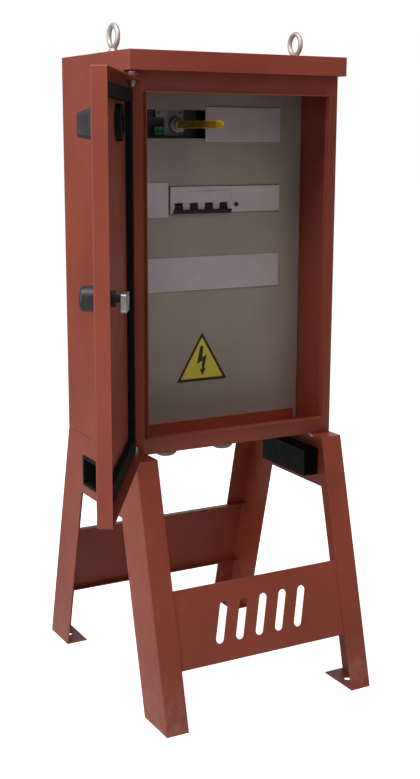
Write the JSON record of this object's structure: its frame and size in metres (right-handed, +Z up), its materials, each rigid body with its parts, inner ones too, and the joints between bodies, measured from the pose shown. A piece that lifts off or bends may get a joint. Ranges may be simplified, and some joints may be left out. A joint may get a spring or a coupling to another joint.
{
  "type": "portable power distribution box",
  "caption": "Steel power distribution cabinet with rain hood, hinged door, rail-mounted switch and breaker, on a splayed four-legged stand with grip recesses.",
  "frame": {"origin": "on the floor, at the centre of the four foot holes", "axes": "+Z up, +X to the right seen from the front, -Y out of the cabinet's front"},
  "size_m": [0.6056, 0.7093, 1.121],
  "materials": {
    "red_paint": "satin powder coat, oxide red",
    "zinc_steel": "zinc plated",
    "brass": "drawn brass",
    "black_plastic": "moulded, fine grain",
    "grey_plastic": "moulded polyamide, light grey",
    "light_plastic": "moulded, light grey",
    "cover_paint": "satin powder coat, beige grey",
    "rubber": "foamed sealing rubber",
    "sign_yellow": "printed plate, no lettering",
    "green_plastic": "moulded, green"
  },
  "bodies": {
    "root": {"blank_strip_bottom": "light_plastic", "blank_strip_middle": "light_plastic", "blank_strip_top": "light_plastic", "breaker_body": "light_plastic", "cabinet_body": "red_paint", "cabinet_floor": "red_paint", "cover": "cover_paint", "cover_screws": "zinc_steel", "cover_support_lower": "red_paint", "cover_support_upper": "red_paint", "cross_panel_front": "red_paint", "cross_panel_rear": "red_paint", "din_rail_bottom": "zinc_steel", "din_rail_middle": "zinc_steel", "din_rail_top": "zinc_steel", "earth_bar": "brass", "eye_bolt_nuts": "zinc_steel", "eye_bolt_washers": "zinc_steel", "eye_bolts": "zinc_steel", "frame_standoffs": "zinc_steel", "frame_upright_left": "zinc_steel", "frame_upright_right": "zinc_steel", "front_header": "red_paint", "gland_bodies": "grey_plastic", "gland_dome_nuts": "grey_plastic", "gland_locknuts": "grey_plastic", "gland_seals": "rubber", "hazard_sign": "sign_yellow", "hinge_bracket_bottom": "red_paint", "hinge_bracket_top": "red_paint", "hinge_pins": "zinc_steel", "load_wires": "black_plastic", "main_switch_body": "black_plastic", "main_switch_bridge": "grey_plastic", "rain_hood": "red_paint", "side_frame_left": "red_paint", "side_frame_right": "red_paint", "stand_bolts": "zinc_steel", "stand_nuts": "zinc_steel", "supply_wires": "black_plastic", "switch_terminal": "green_plastic", "terminal_blocks": "grey_plastic", "tub_handle_left": "black_plastic", "tub_handle_right": "black_plastic"},
    "door": {"door_panel": "red_paint", "door_gasket": "rubber", "hinge_bushes": "brass", "handle_flange": "black_plastic", "handle_inner_ring": "black_plastic", "lock_housing": "black_plastic", "lock_nut": "zinc_steel"},
    "handle": {"switch_handle": "black_plastic"},
    "lock": {"lock_knob": "black_plastic", "lock_cam": "zinc_steel", "lock_cam_screw": "zinc_steel"},
    "shaft": {"switch_shaft": "brass", "shaft_coupler": "grey_plastic"},
    "toggles": {"toggle_levers": "black_plastic", "toggle_link_bar": "black_plastic"},
    "button": {"test_button": "black_plastic"}
  },
  "joints": [
    {"name": "door_hinge", "type": "hinge", "parent": "root", "child": "door", "pos_m": [-0.191, -0.121, 0.7345], "axis": [0, 0, 1], "range_deg": [-8, 121.7]},
    {"name": "handle_turn", "type": "hinge", "parent": "door", "child": "handle", "pos_m": [-0.2759, -0.24134, 0.963], "axis": [-0.8508, 0.5255, 0], "range_deg": [-90, 0]},
    {"name": "lock_turn", "type": "hinge", "parent": "door", "child": "lock", "pos_m": [-0.37784, -0.4064, 0.7375], "axis": [-0.8508, 0.5255, 0], "range_deg": [-90, 0]},
    {"name": "shaft_turn", "type": "hinge", "parent": "root", "child": "shaft", "pos_m": [-0.044, 0, 0.963], "axis": [0, -1, 0], "range_deg": [-90, 0]},
    {"name": "toggle_swing", "type": "hinge", "parent": "root", "child": "toggles", "pos_m": [-0.0045, 0.006, 0.8255], "axis": [-1, 0, 0], "range_deg": [0, 64]},
    {"name": "button_press", "type": "slide", "parent": "root", "child": "button", "axis": [0, 1, 0], "range_m": [0, 0.002], "stiffness_N_per_m": 300, "springref_m": -0.001}
  ]
}
